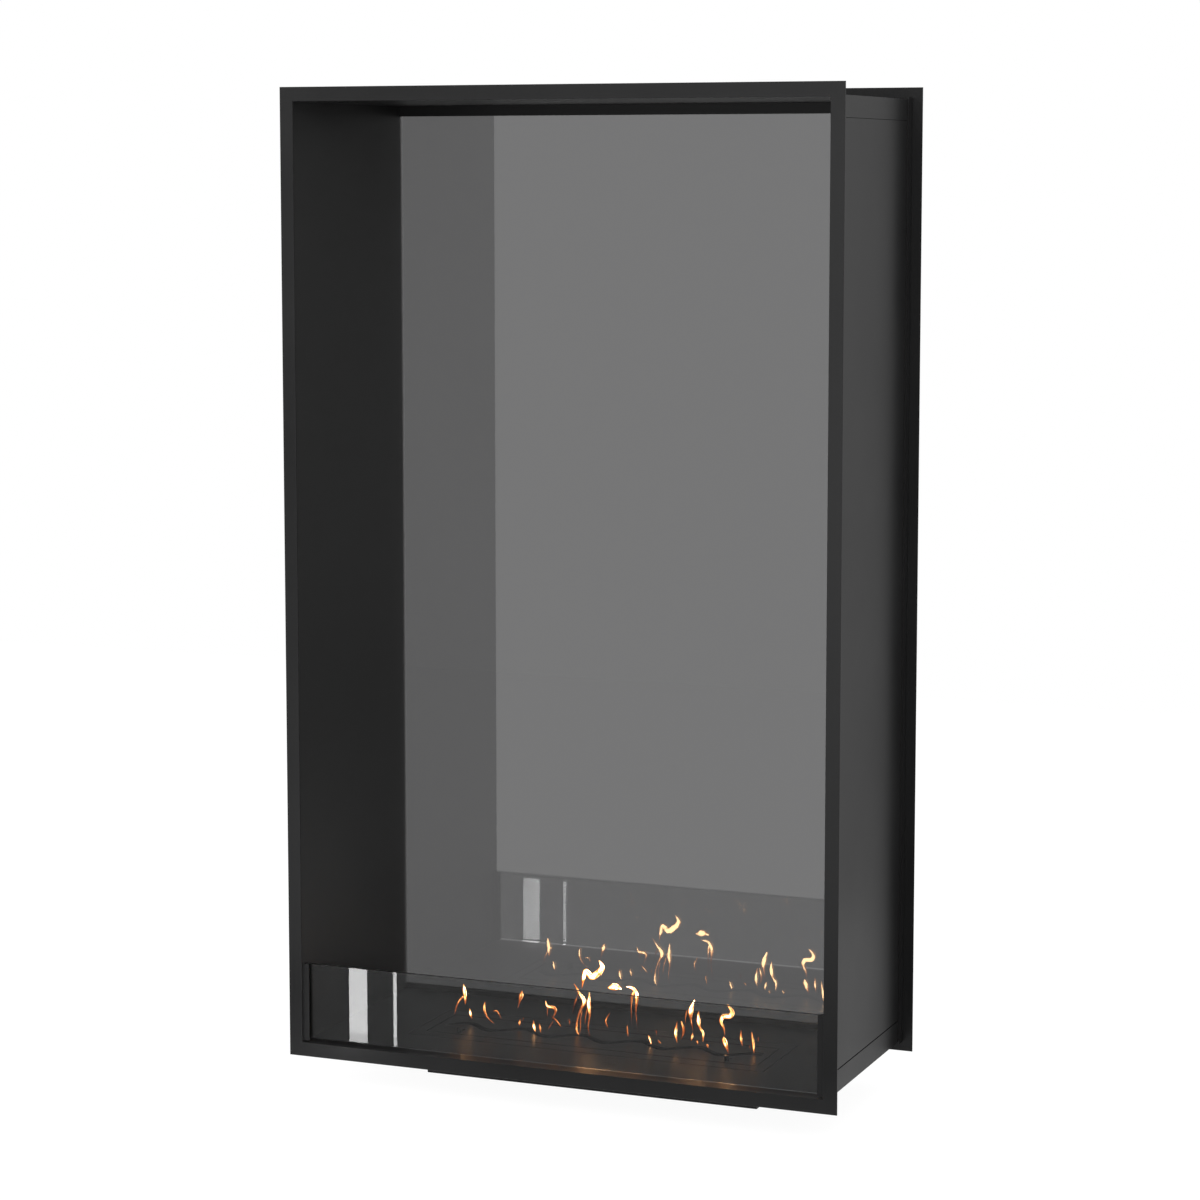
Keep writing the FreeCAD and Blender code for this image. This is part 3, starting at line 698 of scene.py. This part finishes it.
tongues = [
    [(-187, 24, 1.5, 0.3), (-187, 33, 4.5, 0.8), (-188, 42, 4.5, 1.0), (-189, 49, 0.6, 0.9)],
    [(-198, 12, 0.8, 0.2), (-196, 21, 1.8, 0.6), (-192, 29, 2.2, 0.8), (-187, 35, 3.0, 0.9)],
    [(-178, 6, 0.8, 0.3), (-180, 12, 2.8, 0.9), (-181, 19, 0.6, 0.8)],
    [(-139, 9, 0.6, 0.2), (-147, 15, 1.6, 0.5), (-151, 22, 3.0, 0.7), (-152, 28, 2.8, 0.9),
     (-151, 35, 0.6, 0.8)],
    [(-131, 14, 0.6, 0.3), (-135, 21, 1.4, 0.7), (-138, 24, 1.6, 0.9), (-142, 23, 0.6, 0.6)],
    [(-115, 26, 0.6, 0.1), (-112, 36, 3.4, 0.5), (-110, 43, 6.0, 0.9), (-109, 49, 0.8, 0.6)],
    [(-113, 4, 0.6, 0.4), (-113, 8, 3.0, 0.8), (-112, 12, 0.6, 0.5)],
    [(-110, 9, 0.6, 0.1), (-108, 14, 1.6, 0.2)],
    [(-88, 1, 0.8, 0.8), (-90, 7, 3.6, 1.0), (-91, 15, 0.8, 0.3)],
    [(-77, 3, 0.6, 0.4), (-78, 9, 2.8, 0.8), (-79, 14, 0.6, 0.5)],
    [(-61, 22, 0.6, 0.2), (-57, 31, 3.0, 0.6), (-58, 36, 4.0, 0.9), (-64, 37, 3.8, 0.9), (-68, 38, 2.8, 0.9),
     (-70, 44, 0.6, 0.8)],
    [(-67, 25, 0.6, 0.1), (-67, 31, 1.6, 0.3), (-66, 37, 1.2, 0.6)],
    [(-52, 11, 0.6, 0.3), (-55, 15, 1.6, 0.6), (-60, 20, 2.0, 0.5), (-65, 24, 0.6, 0.2)],
    [(-67, 8, 0.6, 0.1), (-63, 14, 1.2, 0.3), (-59, 20, 0.6, 0.3)],
    [(-44, 13, 0.6, 0.2), (-44, 17, 2.4, 0.4), (-45, 21, 0.6, 0.2)],
    [(-34, 0, 0.8, 0.7), (-37, 6, 2.6, 0.8), (-36, 19, 2.6, 0.5), (-32, 31, 3.4, 0.6), (-27, 43, 5.6, 1.0),
     (-34, 53, 2.8, 0.8), (-41, 63, 0.6, 0.3)],
    [(-33, 2, 0.6, 0.4), (-32, 11, 1.6, 0.5), (-32, 20, 1.8, 0.5), (-30, 30, 1.4, 0.6)],
    [(-42, 24, 0.6, 0.0), (-39, 36, 3.4, 0.15), (-35, 48, 2.4, 0.3), (-33, 55, 0.6, 0.2)],
    [(-26, 14, 0.6, 0.1), (-25, 25, 1.8, 0.4), (-22, 36, 2.0, 0.6), (-20, 44, 1.0, 0.8)],
    [(-18, 1, 0.6, 0.2), (-20, 13, 1.6, 0.5), (-18, 27, 2.8, 0.7), (-19, 40, 5.2, 1.0), (-18, 56, 0.6, 0.9)],
    [(-31, 58, 0.8, 0.1), (-29, 70, 4.0, 0.8), (-26, 80, 6.0, 1.0), (-18, 74, 8.0, 1.0), (-10, 79, 8.0, 1.0),
     (-4, 87, 6.4, 1.0), (-8, 95, 0.8, 0.9)],
    [(12, 68, 1.0, 0.9), (17, 69, 7.0, 1.0), (22, 70, 9.0, 1.0), (30, 68, 1.0, 0.9)],
    [(13, 18, 0.6, 0.2), (10, 27, 2.0, 0.6), (15, 37, 0.6, 0.5)],
    [(37, 18, 0.6, 0.0), (36, 41, 1.6, 0.3), (37, 56, 3.4, 0.8), (39, 62, 1.0, 0.9)],
    [(44, 11, 0.6, 0.0), (41, 35, 2.0, 0.4), (42, 54, 4.6, 0.9), (37, 64, 4.0, 1.0), (28, 66, 0.6, 1.0)],
    [(33, 6, 0.6, 0.3), (32, 13, 2.2, 0.5), (32, 20, 0.6, 0.3)],
    [(66, 1, 0.6, 0.7), (64, 7, 2.4, 0.9), (62, 12, 0.6, 0.6)],
    [(75, 15, 0.6, 0.0), (75, 19, 2.6, 0.1), (74, 23, 0.6, 0.0)],
    [(82, 6, 0.6, 0.4), (80, 8, 2.2, 0.6), (78, 10, 0.6, 0.3)],
    [(100, 7, 0.6, 0.5), (98, 19, 3.8, 0.9), (100, 33, 0.8, 0.7)],
    [(104, 11, 0.6, 0.3), (107, 22, 4.4, 0.5), (104, 33, 0.8, 0.8)],
    [(108, 30, 0.6, 0.3), (108, 38, 1.8, 0.5), (110, 46, 1.6, 0.7)],
    [(116, 20, 0.6, 0.0), (113, 34, 3.0, 0.5), (113, 45, 6.4, 1.0), (117, 58, 0.8, 0.9)],
    [(114, 8, 0.6, 0.6), (115, 13, 2.8, 0.9), (116, 18, 0.6, 0.6)],
    [(129, 8, 0.8, 0.7), (129, 19, 3.0, 0.9), (125, 25, 3.0, 0.9), (123, 34, 4.8, 1.0), (123, 45, 1.0, 0.7)],
    [(138, 3, 0.6, 0.5), (137, 6, 2.4, 0.8), (136, 8, 0.6, 0.5)],
    [(122, 4, 0.6, 0.4), (121, 7, 2.0, 0.6), (121, 9, 0.6, 0.3)],
    [(164, 23, 0.6, 0.1), (163, 32, 2.2, 0.6), (159, 41, 4.8, 0.9), (162, 47, 6.0, 1.0), (171, 49, 6.6, 1.0),
     (173, 55, 5.4, 1.0), (167, 62, 0.8, 0.8)],
    [(168, 2, 0.6, 0.3), (166, 9, 4.0, 0.7), (163, 17, 6.2, 1.0), (162, 22, 1.0, 0.8)],
    [(182, 9, 0.6, 0.5), (180, 19, 3.0, 0.9), (180, 29, 0.6, 0.6)],
    [(194, 0, 0.6, 0.6), (193, 12, 3.4, 0.9), (191, 26, 0.8, 0.7)],
    [(199, 14, 0.6, 0.1), (199, 18, 2.2, 0.3), (199, 21, 0.6, 0.1)],
    [(190, 5, 0.6, 0.1), (189, 8, 1.8, 0.2), (189, 10, 0.6, 0.1)],
]


def smooth_path(points):
    """A Catmull-Rom curve through the points, with a fixed number of steps to each stretch."""
    given = np.concatenate([2 * points[:1] - points[1:2], points, 2 * points[-1:] - points[-2:-1]])
    share = np.linspace(0.0, 1.0, flame_step, endpoint=False)[:, None]
    before, start, end, after = given[:-3, None], given[1:-2, None], given[2:-1, None], given[3:, None]
    curve = 0.5 * (2 * start + (end - before) * share
                   + (2 * before - 5 * start + 4 * end - after) * share ** 2
                   + (3 * start - before - 3 * end + after) * share ** 3)
    return np.concatenate([curve.reshape(-1, points.shape[1]), points[-1:]])


def tongue_skin(rows, depth):
    """Rings round the path: half width x cos(turn) across it, and a flatter half x sin(turn) in depth.

    Returns the points with, for each, its heat, which grows towards the rear, and how near it lies to the
    flame's rim.
    """
    path = smooth_path(np.array(rows, dtype=float))
    middle = path[:, :2]
    heading = np.gradient(middle, axis=0)
    heading /= np.maximum(np.linalg.norm(heading, axis=1), 1e-9)[:, None]
    beside = np.stack([heading[:, 1], -heading[:, 0]], axis=1)
    half = np.maximum(path[:, 2], flame_least)[:, None] / 2
    turn = np.linspace(0.0, 2.0 * math.pi, flame_ring, endpoint=False)[None, :]
    across, out = half * np.cos(turn), half * flame_flat * np.sin(turn)
    x = middle[:, :1] + across * beside[:, :1]
    z = middle[:, 1:] + across * beside[:, 1:]
    points = np.stack([x / mm_per_metre, depth + out / mm_per_metre, plate_top + z / mm_per_metre], axis=-1)
    rim = np.broadcast_to(np.abs(np.cos(turn)), across.shape)
    rear = flame_rear_gain * np.clip(flame_rear_rise * np.sin(turn), 0.0, 1.0)
    heat = np.clip(path[:, 3:4], 0.0, 1.0) + rear
    return points, heat, rim


flame_material = bpy.data.materials.new("flame")
flame_material.use_nodes = True
nodes, links = flame_material.node_tree.nodes, flame_material.node_tree.links
burning = nodes["Principled BSDF"]
burning.inputs["Base Color"].default_value = (0.0, 0.0, 0.0, 1.0)
burning.inputs["Specular IOR Level"].default_value = 0.0
burning.inputs["Roughness"].default_value = 1.0
burning.inputs["Emission Strength"].default_value = flame_strength
flame_map = nodes.new("ShaderNodeUVMap")
flame_map.uv_map = "heat_and_rim"
split = nodes.new("ShaderNodeSeparateXYZ")
place = nodes.new("ShaderNodeTexCoord")
stretch = nodes.new("ShaderNodeMapping")
stretch.inputs["Scale"].default_value = flicker_scale
flicker = nodes.new("ShaderNodeTexNoise")
flicker.inputs["Scale"].default_value = 1.0
flicker.inputs["Detail"].default_value = flicker_detail
flicker_share = nodes.new("ShaderNodeMapRange")
flicker_share.inputs["From Min"].default_value = flicker_low
flicker_share.inputs["From Max"].default_value = flicker_high
flicker_share.inputs["To Min"].default_value = flicker_loss
flicker_share.inputs["To Max"].default_value = flicker_gain
rim_curve = nodes.new("ShaderNodeMath")
rim_curve.operation = "POWER"
rim_curve.inputs[1].default_value = rim_power
cooling = nodes.new("ShaderNodeMath")
cooling.operation = "MULTIPLY_ADD"
cooling.inputs[1].default_value = rim_cooling
warmth = nodes.new("ShaderNodeMath")
warmth.operation = "ADD"
warmth.use_clamp = True
flame_ramp = nodes.new("ShaderNodeValToRGB")
ramp = flame_ramp.color_ramp
ramp.elements[0].position, ramp.elements[0].color = flame_stops[0]
ramp.elements[1].position, ramp.elements[1].color = flame_stops[-1]
for stop, colour in flame_stops[1:-1]:
    ramp.elements.new(stop).color = colour
clear_rim = nodes.new("ShaderNodeMapRange")
clear_rim.interpolation_type = "SMOOTHSTEP"
clear_rim.inputs["From Min"].default_value = rim_fade
clear_rim.inputs["From Max"].default_value = 1.0
clear_rim.inputs["To Min"].default_value = 1.0
clear_rim.inputs["To Max"].default_value = 0.0
clear_cool = nodes.new("ShaderNodeMapRange")
clear_cool.interpolation_type = "SMOOTHSTEP"
clear_cool.inputs["From Min"].default_value = cool_clear
clear_cool.inputs["From Max"].default_value = cool_full
body = nodes.new("ShaderNodeMath")
body.operation = "MULTIPLY"
link_all(links, [
    (flame_map.outputs["UV"], split.inputs["Vector"]),
    (place.outputs["Object"], stretch.inputs["Vector"]),
    (stretch.outputs["Vector"], flicker.inputs["Vector"]),
    (flicker.outputs["Fac"], flicker_share.inputs["Value"]),
    (split.outputs["Y"], rim_curve.inputs[0]),
    (rim_curve.outputs["Value"], cooling.inputs[0]),
    (split.outputs["X"], cooling.inputs[2]),
    (cooling.outputs["Value"], warmth.inputs[0]),
    (flicker_share.outputs["Result"], warmth.inputs[1]),
    (warmth.outputs["Value"], flame_ramp.inputs["Fac"]),
    (flame_ramp.outputs["Color"], burning.inputs["Emission Color"]),
    (split.outputs["Y"], clear_rim.inputs["Value"]),
    (warmth.outputs["Value"], clear_cool.inputs["Value"]),
    (clear_rim.outputs["Result"], body.inputs[0]),
    (clear_cool.outputs["Result"], body.inputs[1]),
    (body.outputs["Value"], burning.inputs["Alpha"]),
])
for number, rows in enumerate(tongues):
    base = rows[0][0] / mm_per_metre
    depth = -slot_wave_height * math.cos(2.0 * math.pi * (base - slot_wave_shift) / slot_wave_length)
    skin, heat, rim = tongue_skin(rows, depth)
    flame_name = "flame_" + str(number + 1)
    mesh = closed_grid(flame_name, skin)
    corner = np.empty(len(mesh.loops), dtype=np.int32)
    mesh.loops.foreach_get("vertex_index", corner)
    values = np.stack([np.concatenate([heat.ravel(), heat[:1, 0], heat[-1:, 0]]),
                       np.concatenate([rim.ravel(), [0.0, 0.0]])], axis=1)
    mesh.uv_layers.new(name="heat_and_rim").data.foreach_set("uv", values[corner].ravel())
    mesh.materials.append(flame_material)
    flame = bpy.data.objects.new(flame_name, mesh)
    scene.collection.objects.link(flame)
    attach(flame, "burner_top")
